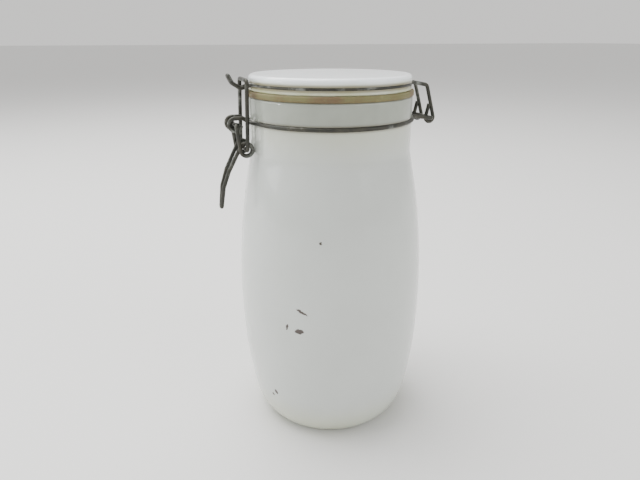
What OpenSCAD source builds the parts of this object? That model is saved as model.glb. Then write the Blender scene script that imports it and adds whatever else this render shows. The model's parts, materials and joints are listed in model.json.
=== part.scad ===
// Lidded glass canister: an opal glass jar with a glass lid, a rubber ring and a bent-wire
// over-centre clip. The clip is at the front (-Y) and the wire hinge at the back (+Y).
// Millimetres, +Z up, origin at the middle of the foot.

/* [Jar] */
// Largest outer radius of the body
body_r = 60; // [50:1:72]
// Height of the largest radius
belly_h = 87; // [75:1:100]
// How far the heel's top lies inside the body's largest radius
heel_in = 5.6; // [3:0.2:9]
// Height where the heel meets the side
heel_h = 20.6; // [16:0.2:26]
// How far the foot's outer edge lies inside the heel's top
foot_in = 14.1; // [10:0.1:18]
// Width of the ring that the jar stands on
foot_w = 7; // [4:0.5:12]
// Depth of the hollow under the base
punt_h = 3; // [1:0.5:6]
// Outer radius of the neck
neck_r = 49.3; // [40:0.1:60]
// Height of the jar's rim
rim_h = 214.5; // [170:0.5:260]
// Height of the neck, from the shoulder to the rim
neck_h = 30.5; // [26:0.5:40]
// Thickness of the side wall
wall = 4.5; // [3:0.1:6]
// Thickness of the base above the hollow
base_t = 5; // [3:0.5:8]
// Thickness of the neck at the mouth
neck_wall = 7.3; // [5:0.1:9]
// Rounding of the rim's edges
rim_round = 1.2; // [0.5:0.1:2]

/* [Rubber ring] */
// Thickness of the rubber ring
ring_t = 3.4; // [2:0.1:5]
// How far the rubber ring stands proud of the neck
ring_proud = 0.8; // [0.2:0.1:2]
// How far the rubber ring reaches into the mouth
ring_lip = 0.8; // [0.4:0.1:1.5]

/* [Lid] */
// How far the lid's edge lies inside the neck's outside
lid_inset = 0.9; // [0.2:0.1:2]
// Thickness of the lid from the rubber ring to its top edge
lid_t = 8.8; // [8:0.1:12]
// Height of the wire groove's centre above the lid's underside
groove_up = 3.5; // [2.8:0.1:5]
// Rise of the top face at its middle
crown = 0.8; // [0.2:0.1:2]
// Rounding of the lid's top edge
lid_round = 2.2; // [1:0.1:3]
// Depth of the locating ring below the lid's underside
spigot_h = 5.5; // [3:0.5:8]
// Gap between the locating ring's root and the rubber ring
spigot_gap = 0.8; // [0.4:0.1:2]
// How much the locating ring narrows towards its lower edge
spigot_taper = 1.6; // [0.5:0.1:3]
// Width of the locating ring
spigot_w = 4; // [3:0.5:8]
// Depth of the hollow under the lid
dish_h = 2; // [1:0.5:4]

/* [Wire] */
// Radius of the wire
wire_r = 1.15; // [0.9:0.05:1.4]
// How far the neck wire lies below the rim
neck_wire_drop = 13.5; // [10:0.5:18]
// How far the neck wire's centre stands out from the neck
neck_wire_out = 0.3; // [-0.3:0.1:0.6]
// How far the lid wire stands proud of the lid's edge
lid_wire_proud = 0.1; // [0:0.1:0.6]
// Gap between a wire and the groove that it lies in
seat_gap = 0.15; // [0.05:0.05:0.3]
// Gap above and below the lid wire at the mouth of its groove
slot_gap = 0.1; // [0.08:0.01:0.14]
// How much thicker than the wire a bend is
bend_swell = 1.06; // [1.02:0.01:1.1]
// Angle from the middle plane where the neck wire leaves the neck, towards the clip
neck_front_a = 20; // [16:1:30]
// Angle from the middle plane where the neck wire leaves the neck, towards the hinge
neck_back_a = 20; // [16:1:30]
// Angle from the middle plane where the lid wire leaves the lid, towards the clip
lid_front_a = 14; // [10:1:20]
// Angle from the middle plane where the lid wire leaves the lid, towards the hinge
lid_back_a = 22; // [16:1:30]

/* [Hinge] */
// Distance of the hinge bar behind the neck wire
hinge_out = 15; // [12:0.1:18]
// How far the hinge bar lies below the neck wire
hinge_drop = 2.2; // [1:0.1:5]
// Half of the distance between the hinge bar's arms
bail_half = 12.2; // [11:0.1:15]
// Half of the distance between the lid wire's two hooks
hook_half = 7.6; // [6:0.1:9]
// Radius of a hook, to the wire's centre
hook_r = 2.7; // [2.6:0.1:4.5]
// Distance of the legs' top corner from the hinge bar, towards the jar
leg_in = 3.1; // [1:0.1:5]
// How far the legs' top corner lies below the lid wire
leg_drop = 2.6; // [1:0.1:4]
// Angle from the +Y direction where a hook's bend ends, past the underside of the bar
hook_stop_a = 167; // [150:1:175]
// Length of a hook's free end
hook_end = 8; // [5:0.5:9]

/* [Latch] */
// Distance of the lever's pivot in front of the neck wire
pivot_out = 9.6; // [8:0.1:12]
// How far the lever's pivot lies below the neck wire
pivot_drop = 1; // [0:0.1:2]
// How far the lever's eyes lie nearer to the jar than the pivot
eye_in = 5.3; // [4.5:0.1:6]
// How far the lever's eyes lie below the pivot
eye_drop = 14.3; // [13:0.1:16]
// Radius of an eye or loop, to the wire's centre
eye_r = 3.5; // [3.2:0.1:4]
// Half of the distance between the neck wire's loops
loop_half = 4.7; // [4.5:0.1:5]
// How far the neck wire rises from the neck before its loops, along the way to the front
loop_rise_out = 3.6; // [2:0.1:5]
// Gap between the neck wire's loops and the lever's eyes
eye_gap = 0.6; // [0.4:0.1:1.2]
// Gap between the lever's arms and the link
side_gap = 0.4; // [0.2:0.1:0.8]
// How far a pivot's end reaches past the loop or eye that it turns in
pin_past = 0.7; // [0.3:0.1:1.2]
// Height of the link's crossbar above the lid's wire groove
crossbar_up = 2.9; // [2.6:0.1:4]
// Distance of the link's crossbar in front of the neck wire
crossbar_out = 2.8; // [2:0.1:4]
// Free height between the crossbar and the tongue below it when closed
catch_gap = 2.5; // [2.2:0.1:3]
// Distance of the tongue's crook in front of the crossbar
crook_out = 1.8; // [1:0.1:3]
// Distance of the tongue's tip in front of its crook
tongue_out = 6.6; // [5:0.1:8]
// Height of the tongue's tip above its crook
tongue_up = 7; // [4:0.1:9]
// How far the tongue's tip stands in front of and above its upper bend
tongue_tip = [2, 4];
// Half of the gap between the tongue's two wires
tongue_gap = 0.5; // [0.3:0.1:1]
// Length of the lever's handle below its eyes
handle_l = 34.5; // [28:0.5:40]
// How far the handle's tip stands out beyond the pivot
handle_out = 10.6; // [8:0.1:13]

/* [Hidden] */
$fn = 64;
CURVE_STEPS = 10;

// How far the curves of the jar's side are drawn out at their ends
foot_pull = 6.5;
heel_pull_down = [1.6, 11];
heel_pull_up = [1.3, 9];
belly_pull_down = 37;
belly_pull_up = 0.6;
neck_pull = 9;
// Height of the throat's curve and of the straight mouth above it
throat_pull = 6;
mouth_h = 10;

// Radii that follow from the sizes above
heel_r = body_r - heel_in;
foot_r = heel_r - foot_in;
mouth_r = neck_r - neck_wall;
ring_in_r = mouth_r - ring_lip;
ring_out_r = neck_r + ring_proud;
lid_r = neck_r - lid_inset;
neck_wire_r = neck_r + neck_wire_out;
lid_wire_r = lid_r - wire_r + lid_wire_proud;

// Heights that follow from the sizes above
shoulder_h = rim_h - neck_h;
lid_h = rim_h + ring_t;
groove_h = lid_h + groove_up;
top_h = lid_h + lid_t;
neck_wire_h = rim_h - neck_wire_drop;
hinge_h = neck_wire_h - hinge_drop;
pivot_h = neck_wire_h - pivot_drop;
eye_h = pivot_h - eye_drop;
crossbar_h = groove_h + crossbar_up;
crook_h = crossbar_h - 2 * wire_r - catch_gap;

// Distances from the axis, behind it for the hinge and in front of it for the latch
hinge_y = neck_wire_r + hinge_out;
pivot_y = neck_wire_r + pivot_out;
eye_y = pivot_y - eye_in;
crossbar_y = neck_wire_r + crossbar_out;

// Sideways places of the wires, each clear of the one beside it
tongue_half = wire_r + tongue_gap;
eye_half = loop_half + wire_r + eye_gap;
arm_half = eye_half + wire_r;
handle_half = eye_half - wire_r;
link_half = arm_half + 2 * wire_r + side_gap;
pin_in = loop_half - wire_r - pin_past;

// Points of the front half and of the back half: sideways, away from the axis, up
function front(x, r, z) = [x, -r, z];
function back(x, r, z) = [x, r, z];

// A curve from a to d that leaves towards b and arrives from c, without its first point
function curve(a, b, c, d) = [
  for (i = [1:CURVE_STEPS]) let(t = i / CURVE_STEPS, s = 1 - t)
    s * s * s * a + 3 * s * s * t * b + 3 * s * t * t * c + t * t * t * d
];

// The side of the jar from the foot up to the neck, drawn inwards by inset
function side(inset, floor_h) = let(
  foot = [foot_r - inset, floor_h],
  heel = [heel_r - inset, max(heel_h, floor_h + 8)],
  belly = [body_r - inset, belly_h],
  neck = [neck_r - inset, shoulder_h]
) concat(
  [foot],
  curve(foot, foot + [foot_pull, 0], heel - heel_pull_down + [0, floor_h], heel),
  curve(heel, heel + heel_pull_up, belly - [0, belly_pull_down], belly),
  curve(belly, belly + [0, (shoulder_h - belly_h) * belly_pull_up], neck - [0, neck_pull], neck)
);

function reversed(list) = [for (i = [len(list) - 1:-1:0]) list[i]];

// A quarter of a round edge: its centre, radius and first angle
function round_edge(centre, r, from) = [
  for (i = [0:6]) centre + r * [cos(from + 15 * i), sin(from + 15 * i)]
];

function unit(v) = v / norm(v);

// The same point on the other side of the middle plane
function other_side(p) = [-p[0], p[1], p[2]];

// A path kept on its own side (s = 1) or put on the other side (s = -1)
function sided(s, path) = [for (p = path) [s * p[0], p[1], p[2]]];

// A straight stretch of wire between two points
module rod(a, b) {
  v = b - a;
  translate(a)
    rotate([0, acos(v[2] / norm(v)), atan2(v[1], v[0])])
      cylinder(r = wire_r, h = norm(v));
}

// A bend of wire: where stretches meet, the metal is a little thicker than the wire
module bent_at(p) {
  translate(p) sphere(wire_r * bend_swell);
}

// Wire along a path of corner points, bent at each corner between its two ends
module wire(path) {
  for (i = [0:len(path) - 2])
    rod(path[i], path[i + 1]);
  for (i = [1:1:len(path) - 2])
    bent_at(path[i]);
}

// Wire round the jar's axis at height h, from one angle to another
module hoop(r, h, from, to) {
  translate([0, 0, h])
    rotate([0, 0, min(from, to)])
      rotate_extrude(angle = abs(to - from))
        translate([r, 0])
          circle(wire_r);
}

// Part of a wire loop that stands upright beside the middle plane: its angles run
// from the +Y direction towards +Z, and it is drawn from the lower to the higher one
module loop(centre, r, a, b) {
  translate(centre)
    rotate([90, 0, 90])
      rotate([0, 0, min(a, b)])
        rotate_extrude(angle = abs(b - a))
          translate([r, 0])
            circle(wire_r);
}

// The two halves of a wire that is the same on both sides
module both_sides() {
  children();
  mirror([1, 0, 0]) children();
}

// Where a wire leaves a hoop of radius r towards sideways place x, at angle a from the
// middle plane: the tangent's crossing with that sideways place
function leave_r(r, x, a) = (r - x * sin(a)) / cos(a);

module glass_jar() {
  rim = rim_h - rim_round;
  outer = concat(side(0, 0), [[neck_r, rim]], round_edge([neck_r - rim_round, rim], rim_round, 0));
  lip = round_edge([mouth_r + rim_round, rim], rim_round, 90);
  inner_side = side(wall, base_t + punt_h);
  throat_low = [neck_r - wall, shoulder_h];
  throat_high = [mouth_r, rim - mouth_h];
  throat = curve(throat_low, throat_low + [0, throat_pull], throat_high - [0, throat_pull], throat_high);
  inner = concat(reversed(throat), reversed(inner_side));
  under = curve([0, punt_h], [foot_r * 0.5, punt_h], [foot_r - foot_w - 5, 0], [foot_r - foot_w, 0]);
  color([0.86, 0.88, 0.87])
    difference() {
      rotate_extrude()
        polygon(concat(outer, lip, inner, [[0, base_t + punt_h], [0, punt_h]], under));
      translate([0, 0, neck_wire_h])
        rotate_extrude()
          translate([neck_wire_r, 0])
            circle(wire_r + seat_gap);
    }
}

module rubber_ring() {
  color([0.55, 0.50, 0.36])
    translate([0, 0, rim_h])
      rotate_extrude()
        translate([ring_in_r, 0])
          square([ring_out_r - ring_in_r, ring_t]);
}

module glass_lid() {
  spigot_r = ring_in_r - spigot_gap;
  dish_r = spigot_r - spigot_taper - spigot_w;
  shoulder = top_h - lid_round;
  foot_round = 0.8;
  edge = [lid_r - lid_round, top_h];
  middle = [0, top_h + crown];
  outline = concat(
    [[0, lid_h + dish_h], [dish_r, lid_h + dish_h], [dish_r, lid_h - spigot_h]],
    [[spigot_r - spigot_taper, lid_h - spigot_h], [spigot_r, lid_h]],
    round_edge([lid_r - foot_round, lid_h + foot_round], foot_round, -90),
    round_edge([lid_r - lid_round, shoulder], lid_round, 0),
    curve(edge, edge - [lid_r * 0.35, -crown * 0.7], middle + [lid_r * 0.3, 0], middle)
  );
  color([0.93, 0.94, 0.96])
    difference() {
      rotate_extrude()
        polygon(outline);
      translate([0, 0, groove_h])
        rotate_extrude()
          translate([lid_wire_r, 0])
            circle(wire_r + seat_gap);
      translate([0, 0, groove_h - wire_r - slot_gap])
        rotate_extrude()
          translate([lid_wire_r, 0])
            square([4 * wire_r, 2 * (wire_r + slot_gap)]);
    }
}

// Half of the neck wire, up to the middle of the hinge bar: the +X half (s = 1) or the
// -X half (s = -1)
module half_neck_wire(s) {
  loop_top = pivot_h + eye_r;
  front_r = leave_r(neck_wire_r, loop_half, neck_front_a);
  to_loop = [
    front(neck_wire_r * sin(neck_front_a), neck_wire_r * cos(neck_front_a), neck_wire_h),
    front(loop_half, front_r, neck_wire_h),
    front(loop_half, front_r + loop_rise_out, loop_top),
    front(loop_half, pivot_y, loop_top)
  ];
  to_bar = [
    back(neck_wire_r * sin(neck_back_a), neck_wire_r * cos(neck_back_a), neck_wire_h),
    back(bail_half, leave_r(neck_wire_r, bail_half, neck_back_a), neck_wire_h),
    back(bail_half, hinge_y, hinge_h),
    back(0, hinge_y, hinge_h)
  ];
  color([0.30, 0.30, 0.29]) {
    hoop(neck_wire_r, neck_wire_h, 90 - s * (180 - neck_front_a), 90 - s * neck_back_a);
    wire(sided(s, to_loop));
    loop(front(s * loop_half, pivot_y, pivot_h), eye_r, 90, 350);
    wire(sided(s, to_bar));
    for (p = sided(s, [to_loop[0], to_loop[3], to_bar[0]]))
      bent_at(p);
  }
}

// The neck wire is one bent wire, kept as two halves that meet in the middle of the bar
module neck_wire_right() {
  mirror([1, 0, 0]) half_neck_wire(-1);
}

module neck_wire_left() {
  mirror([1, 0, 0]) half_neck_wire(1);
}

// Half of the lid wire, up to the middle of the tongue's tip: the +X half (s = 1) or the
// -X half (s = -1)
module half_lid_wire(s) {
  corner = back(hook_half, hinge_y - leg_in, groove_h - leg_drop);
  hook = back(hook_half, hinge_y, hinge_h);
  leg_a = atan2(corner[2] - hook[2], corner[1] - hook[1]) - acos(hook_r / norm(corner - hook));
  hook_start = hook + hook_r * [0, cos(leg_a), sin(leg_a)];
  hook_stop = hook + hook_r * [0, cos(hook_stop_a), sin(hook_stop_a)];
  crook_y = crossbar_y + crook_out;
  tip = front(tongue_half, crook_y + tongue_out, crook_h + tongue_up);
  tongue = [
    front(lid_wire_r * sin(lid_front_a), lid_wire_r * cos(lid_front_a), groove_h),
    front(tongue_half, leave_r(lid_wire_r, tongue_half, lid_front_a), groove_h),
    front(tongue_half, crook_y, crook_h),
    tip + [0, tongue_tip[0], -tongue_tip[1]],
    tip,
    [0, tip[1], tip[2]]
  ];
  leg = [
    back(lid_wire_r * sin(lid_back_a), lid_wire_r * cos(lid_back_a), groove_h),
    back(hook_half, leave_r(lid_wire_r, hook_half, lid_back_a), groove_h),
    corner,
    hook_start
  ];
  color([0.30, 0.30, 0.29]) {
    hoop(lid_wire_r, groove_h, 90 - s * (180 - lid_front_a), 90 - s * lid_back_a);
    wire(sided(s, tongue));
    wire(sided(s, leg));
    loop([s * hook[0], hook[1], hook[2]], hook_r, hook_stop_a - 360, leg_a);
    wire(sided(s, [hook_stop, hook_stop + hook_end * [0, sin(hook_stop_a), -cos(hook_stop_a)]]));
    for (p = sided(s, [tongue[0], leg[0], hook_start, hook_stop]))
      bent_at(p);
  }
}

// The lid wire is one bent wire too, kept as two halves that meet in the tongue's tip
module lid_wire_right() {
  mirror([1, 0, 0]) half_lid_wire(-1);
}

module lid_wire_left() {
  mirror([1, 0, 0]) half_lid_wire(1);
}

module link_wire() {
  path = [
    front(pin_in, eye_y, eye_h),
    front(link_half, eye_y, eye_h),
    front(link_half, crossbar_y, crossbar_h)
  ];
  color([0.30, 0.30, 0.29]) {
    both_sides() {
      wire(path);
      bent_at(path[2]);
    }
    rod(path[2], other_side(path[2]));
  }
}

module lever_wire() {
  arm = [
    front(pin_in, pivot_y, pivot_h),
    front(arm_half, pivot_y, pivot_h),
    front(arm_half, eye_y + eye_r * 0.8, eye_h + eye_r * 0.6)
  ];
  handle = [
    front(handle_half, eye_y + eye_r * 0.9, eye_h - eye_r * 0.3),
    front(handle_half - 0.8, pivot_y + handle_out * 0.5, eye_h - handle_l * 0.36),
    front(handle_half - 2, pivot_y + handle_out * 0.83, eye_h - handle_l * 0.64),
    front(wire_r + 0.4, pivot_y + handle_out, eye_h - handle_l)
  ];
  color([0.30, 0.30, 0.29]) {
    both_sides() {
      wire(arm);
      loop(front(eye_half, eye_y, eye_h), eye_r, 0, 360);
      wire(handle);
      for (p = [arm[2], handle[0], handle[3]])
        bent_at(p);
    }
    rod(handle[3], other_side(handle[3]));
  }
}

glass_jar();
neck_wire_left();
neck_wire_right();
rubber_ring();
glass_lid();
lid_wire_left();
lid_wire_right();
link_wire();
lever_wire();
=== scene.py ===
import json
import math

import bpy
from bpy.props import FloatProperty, FloatVectorProperty, PointerProperty
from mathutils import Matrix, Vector


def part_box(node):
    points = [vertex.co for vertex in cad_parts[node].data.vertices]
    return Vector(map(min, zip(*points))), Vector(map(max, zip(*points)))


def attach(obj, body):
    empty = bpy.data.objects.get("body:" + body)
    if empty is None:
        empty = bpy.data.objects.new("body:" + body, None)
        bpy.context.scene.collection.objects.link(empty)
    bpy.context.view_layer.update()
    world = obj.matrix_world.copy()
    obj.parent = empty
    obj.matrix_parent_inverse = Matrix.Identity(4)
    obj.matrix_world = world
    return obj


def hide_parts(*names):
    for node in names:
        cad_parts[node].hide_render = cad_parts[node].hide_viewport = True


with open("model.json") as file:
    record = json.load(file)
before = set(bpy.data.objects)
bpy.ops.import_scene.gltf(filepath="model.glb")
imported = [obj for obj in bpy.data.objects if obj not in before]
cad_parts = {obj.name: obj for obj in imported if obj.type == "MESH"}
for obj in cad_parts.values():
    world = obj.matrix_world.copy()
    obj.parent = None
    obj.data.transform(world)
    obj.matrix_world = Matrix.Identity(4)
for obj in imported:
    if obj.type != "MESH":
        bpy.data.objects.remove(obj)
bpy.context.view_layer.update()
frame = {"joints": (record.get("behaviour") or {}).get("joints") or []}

bl_info = {
    "name": "Opal Glass Canister",
    "version": (1, 0, 0),
    "blender": (4, 5, 0),
    "location": "3D View > Sidebar > Canister",
    "description": "Builds an opal glass canister with a rubber ring and a bent-wire clip",
    "category": "Add Mesh",
}

MM = 0.001
TURN = 2 * math.pi
# Points of one mesh that lie closer than this are one point
WELD = 1e-6


# ---------------------------------------------------------------- the frame

def joint_place(name):
    """The point that a joint of the frame turns about."""
    joint = next(j for j in frame["joints"] if j["name"] == name)
    return Vector(joint["pos_m"])


HINGE = joint_place("lid_hinge")
PIVOT = joint_place("lever_swing")
EYE = joint_place("link_swing")
JAR_LOW, JAR_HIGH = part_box("glass_jar")
RING_LOW, RING_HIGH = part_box("rubber_ring")
LID_LOW, LID_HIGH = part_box("glass_lid")
LID_UNDERSIDE = RING_HIGH[2]


# ------------------------------------------------------------ sizes and colours

def length(name, default, description):
    """A size in metres that the sidebar shows with its unit."""
    return FloatProperty(name=name, description=description, default=default, min=0.0,
                         unit="LENGTH", precision=5)


def amount(name, default, description):
    """A plain number from 0 to 1."""
    return FloatProperty(name=name, description=description, default=default, min=0.0, max=1.0)


def colour(name, default, description):
    """A colour with its three linear values."""
    return FloatVectorProperty(name=name, description=description, default=default, size=3,
                               min=0.0, max=1.0, subtype="COLOR")


class CanisterJarSizes(bpy.types.PropertyGroup):
    """Sizes of the blown jar"""
    body_r: length("Body radius", 60 * MM, "Largest outer radius of the body")
    belly_h: length("Belly height", 87 * MM, "Height of the largest radius")
    heel_r: length("Heel radius", 54.4 * MM, "Outer radius where the heel meets the side")
    heel_h: length("Heel height", 20.6 * MM, "Height where the heel meets the side")
    foot_r: length("Foot radius", 40.3 * MM, "Outer radius of the ring that the jar stands on")
    foot_w: length("Foot width", 7 * MM, "Width of the ring that the jar stands on")
    punt_h: length("Punt height", 3 * MM, "Depth of the hollow under the base")
    neck_r: length("Neck radius", 49.3 * MM, "Outer radius of the neck")
    shoulder_h: length("Shoulder height", 184 * MM, "Height where the shoulder meets the neck")
    wall: length("Wall", 4.5 * MM, "Thickness of the side wall")
    base_t: length("Base thickness", 5 * MM, "Thickness of the base above the hollow")
    mouth_r: length("Mouth radius", 42 * MM, "Inner radius of the mouth")
    rim_round: length("Rim rounding", 1.2 * MM, "Rounding of the rim's edges")
    waviness: length("Waviness", 0.12 * MM, "How far the blown wall strays from a true round")


class CanisterLidSizes(bpy.types.PropertyGroup):
    """Sizes of the pressed lid and the rubber ring"""
    lid_r: length("Lid radius", 48.4 * MM, "Outer radius of the lid")
    groove_up: length("Groove height", 3.5 * MM, "Height of the wire groove above the lid's underside")
    lid_t: length("Lid thickness", 8.8 * MM, "From the rubber ring to the lid's top edge")
    crown: length("Crown", 0.8 * MM, "Rise of the top face at its middle")
    lid_round: length("Top rounding", 2.2 * MM, "Rounding of the lid's top edge")
    spigot_h: length("Spigot depth", 5.5 * MM, "Depth of the locating ring below the lid")
    spigot_r: length("Spigot radius", 40.4 * MM, "Outer radius of the locating ring at its root")
    spigot_w: length("Spigot width", 4 * MM, "Width of the locating ring")
    spigot_taper: length("Spigot taper", 1.6 * MM, "How much the locating ring narrows downwards")
    dish_h: length("Dish depth", 2 * MM, "Depth of the hollow under the lid")
    ring_in_r: length("Ring inner radius", 41.2 * MM, "Inner radius of the rubber ring")
    ring_proud: length("Ring overhang", 0.8 * MM, "How far the rubber ring stands proud of the neck")
    ring_bulge: length("Ring bulge", 0.45 * MM, "How far the squeezed edge of the ring is rounded")


class CanisterWireSizes(bpy.types.PropertyGroup):
    """Sizes of the bent wires"""
    wire_r: length("Wire radius", 1.15 * MM, "Radius of the wire")
    seat_gap: length("Seat gap", 0.15 * MM, "Gap between a wire and its groove")
    neck_wire_h: length("Neck wire height", 201 * MM, "Height of the neck wire")
    neck_wire_r: length("Neck wire hoop", 49.6 * MM, "Radius of the hoop round the neck")
    lid_wire_r: length("Lid wire hoop", 47.35 * MM, "Radius of the hoop round the lid")
    eye_r: length("Eye radius", 3.5 * MM, "Radius of the eyes and loops, to the wire's centre")
    hook_r: length("Hook radius", 2.7 * MM, "Radius of the hinge hooks, to the wire's centre")
    bend_r: length("Bend radius", 2.6 * MM, "Radius of a plain bend, to the wire's centre")
    link_bend_r: length("Link bend radius", 2 * MM, "Radius of the link's bends, to the wire's centre")
    arm_bend_r: length("Arm bend radius", 1.8 * MM, "Radius of the bend at the lever's pivots")
    loop_half: length("Loop place", 4.7 * MM, "Sideways place of the neck wire's loops")
    handle_half: length("Handle place", 5.3 * MM, "Sideways place of the handle's upper ends")
    arm_half: length("Arm place", 7.6 * MM, "Sideways place of the lever's arms")
    link_half: length("Link place", 10.3 * MM, "Sideways place of the link's legs")
    bail_half: length("Bail place", 12.2 * MM, "Sideways place of the hinge bar's arms")
    hook_half: length("Hook place", 7.6 * MM, "Sideways place of the lid wire's hooks")
    pin_past: length("Pin end", 0.7 * MM, "How far a pivot's end reaches past the loop it turns in")
    loop_rise_out: length("Loop rise", 3.6 * MM, "How far the neck wire rises outward before its loops")
    leg_in: length("Leg corner", 3.1 * MM, "Distance of the legs' top corner from the hinge bar")
    leg_drop: length("Leg drop", 2.6 * MM, "How far the legs' top corner lies below the lid wire")
    hook_end: length("Hook end", 8 * MM, "Length of a hook's free end")
    crossbar_y: length("Crossbar place", 52.4 * MM, "Distance of the link's crossbar in front of the axis")
    crossbar_up: length("Crossbar height", 2.9 * MM, "Height of the crossbar above the lid's groove")
    catch_gap: length("Catch gap", 2.5 * MM, "Free height between the crossbar and the tongue")
    crook_out: length("Crook place", 1.8 * MM, "Distance of the tongue's crook in front of the crossbar")
    tongue_out: length("Tongue reach", 6.6 * MM, "Distance of the tongue's tip in front of its crook")
    tongue_up: length("Tongue rise", 7 * MM, "Height of the tongue's tip above its crook")
    tongue_gap: length("Tongue gap", 0.5 * MM, "Half of the gap between the tongue's two wires")
    handle_l: length("Handle length", 34.5 * MM, "Length of the handle below its eyes")
    handle_out: length("Handle reach", 10.6 * MM, "How far the handle's tip stands out beyond the pivot")


class CanisterFinishes(bpy.types.PropertyGroup):
    """Colours and finishes"""
    opal: colour("Opal glass", (0.585, 0.615, 0.59), "Body of the milky glass")
    opal_warm: colour("Aged glass", (0.545, 0.565, 0.335), "Yellow-green cast in the thick edges")
    # Painted shade: this darker grey on the neck above its wire stands in for the shade under the lid.
    neck_painted_shade: colour("Neck glass", (0.295, 0.32, 0.28), "Greyer glass of the neck above its wire")
    # Painted light: the lid's white glass is given a lighter, bluer colour than the jar's glass, standing
    # in for the overhead light on its top.
    lid_white_painted_light: colour("Lid glass", (0.90, 0.95, 0.99), "The whiter glass of the lid's top")
    # Brown dirt colour; the jar and the lid also use it for the darker bands along their wire grooves.
    grime: colour("Grime", (0.16, 0.13, 0.07), "Dirt that gathers in grooves")
    residue: colour("Residue", (0.035, 0.018, 0.012), "Small dry flecks stuck to the glass")
    rubber_light: colour("Rubber", (0.168, 0.158, 0.066), "Lighter patches of the perished rubber")
    rubber_dark: colour("Stained rubber", (0.14, 0.095, 0.05), "Darker stains of the perished rubber")
    wire_dark: colour("Dull wire", (0.045, 0.046, 0.041), "Oxidised skin of the wire")
    wire_bare: colour("Bare wire", (0.25, 0.26, 0.24), "Where the wire is rubbed bright")
    floor: colour("Floor", (0.735, 0.735, 0.73), "The plain pale floor")
    glass_roughness: amount("Glass roughness", 0.09, "Roughness of the fire-polished glass")
    wire_roughness: amount("Wire roughness", 0.42, "Roughness of the dull wire")


# --------------------------------------------------------------- outlines and routes

# Angles from the middle plane where the neck wire and the lid wire leave their hoops
NECK_WIRE_LEAVES = 20
LID_WIRE_LEAVES_FRONT = 14
LID_WIRE_LEAVES_BACK = 22
# Where the neck wire's loops start and end, and where a hook's bend ends
LOOP_START = 90
LOOP_STOP = 350
HOOK_STOP = 167
# An eye is coiled at least this far round
COIL_TURN = 400


def curve(a, b, c, d, steps=16):
    """Points on a curve from a to d that leaves towards b and arrives from c, without the point a."""
    points = []
    for i in range(1, steps + 1):
        t = i / steps
        s = 1 - t
        weights = (s ** 3, 3 * s * s * t, 3 * s * t * t, t ** 3)
        points.append(tuple(sum(w * p[k] for w, p in zip(weights, (a, b, c, d))) for k in range(2)))
    return points


def round_edge(centre, r, start, stop, steps=8):
    """Points on an arc in the outline's plane, with its angles in degrees."""
    angles = [math.radians(start + (stop - start) * i / steps) for i in range(steps + 1)]
    return [(centre[0] + r * math.cos(a), centre[1] + r * math.sin(a)) for a in angles]


def groove(r, h, wire_r, gap, surface_r):
    """An outline's stretch that dips round a hoop of wire, drawn upwards."""
    seat = wire_r + gap
    half = math.sqrt(max(seat * seat - (surface_r - r) ** 2, (0.2 * seat) ** 2))
    reach = math.degrees(math.atan2(half, surface_r - r))
    lip = 0.35 * MM
    low = (surface_r, h - half - lip)
    high = (surface_r, h + half + lip)
    return [low] + round_edge((r, h), seat, -reach, -360 + reach, 14) + [high]


def jar_side(s, inset, floor_h):
    """The side of the jar from the foot up to the neck, drawn inwards by inset."""
    foot = (s.foot_r - inset, floor_h)
    heel = (s.heel_r - inset, max(s.heel_h, floor_h + 8 * MM))
    belly = (s.body_r - inset, s.belly_h)
    neck = (s.neck_r - inset, s.shoulder_h)
    rise = (s.shoulder_h - s.belly_h) * 0.6
    return [foot] + (
        curve(foot, (foot[0] + 6.5 * MM, foot[1]),
              (heel[0] - 1.6 * MM, heel[1] - 11 * MM + floor_h), heel)
        + curve(heel, (heel[0] + 1.3 * MM, heel[1] + 9 * MM), (belly[0], belly[1] - 37 * MM), belly, 24)
        + curve(belly, (belly[0], belly[1] + rise), (neck[0], neck[1] - 9 * MM), neck, 30)
    )


def jar_outline(s, w):
    """The outline of the jar's glass, from the middle of the base round to the middle of the floor."""
    rim = JAR_HIGH[2] - s.rim_round
    under = curve((0, s.punt_h), (s.foot_r * 0.5, s.punt_h), (s.foot_r - s.foot_w - 5 * MM, 0),
                  (s.foot_r - s.foot_w, 0))
    outside = jar_side(s, 0, 0) + groove(w.neck_wire_r, w.neck_wire_h, w.wire_r, w.seat_gap, s.neck_r)
    lip = round_edge((s.neck_r - s.rim_round, rim), s.rim_round, 0, 90)
    lip += round_edge((s.mouth_r + s.rim_round, rim), s.rim_round, 90, 180)
    inner_neck = (s.neck_r - s.wall, s.shoulder_h)
    throat = curve(inner_neck, (inner_neck[0], inner_neck[1] + 6 * MM), (s.mouth_r, rim - 16 * MM),
                   (s.mouth_r, rim - 10 * MM))
    inside = list(reversed(throat)) + list(reversed(jar_side(s, s.wall, s.base_t + s.punt_h)))
    return [(0, s.punt_h)] + under + outside + lip + inside + [(0, s.base_t + s.punt_h)]


def lid_outline(s, w):
    """The outline of the lid's glass, from the middle of its underside round to that of its top."""
    low = LID_UNDERSIDE
    top = low + s.lid_t
    tip_r = s.spigot_r - s.spigot_taper
    dish_r = tip_r - s.spigot_w
    dish_top = low + s.dish_h
    tip = low - s.spigot_h
    dish_round = 1.5 * MM
    foot_round = 0.8 * MM
    soft = 0.7 * MM
    dish = [(0, dish_top)]
    dish += round_edge((dish_r - dish_round, dish_top - dish_round), dish_round, 90, 0)
    spigot = round_edge((dish_r + soft, tip + soft), soft, 180, 270)
    spigot += round_edge((tip_r - soft, tip + soft), soft, -90, 0)
    edge = round_edge((s.lid_r - foot_round, low + foot_round), foot_round, -90, 0)
    edge += groove(w.lid_wire_r, low + s.groove_up, w.wire_r, w.seat_gap, s.lid_r)
    edge += round_edge((s.lid_r - s.lid_round, top - s.lid_round), s.lid_round, 0, 90)
    crown = curve((s.lid_r - s.lid_round, top), (s.lid_r * 0.6, top + s.crown * 0.7),
                  (s.lid_r * 0.3, top + s.crown), (0, top + s.crown))
    return dish + spigot + [(s.spigot_r, low)] + edge + crown


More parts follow.
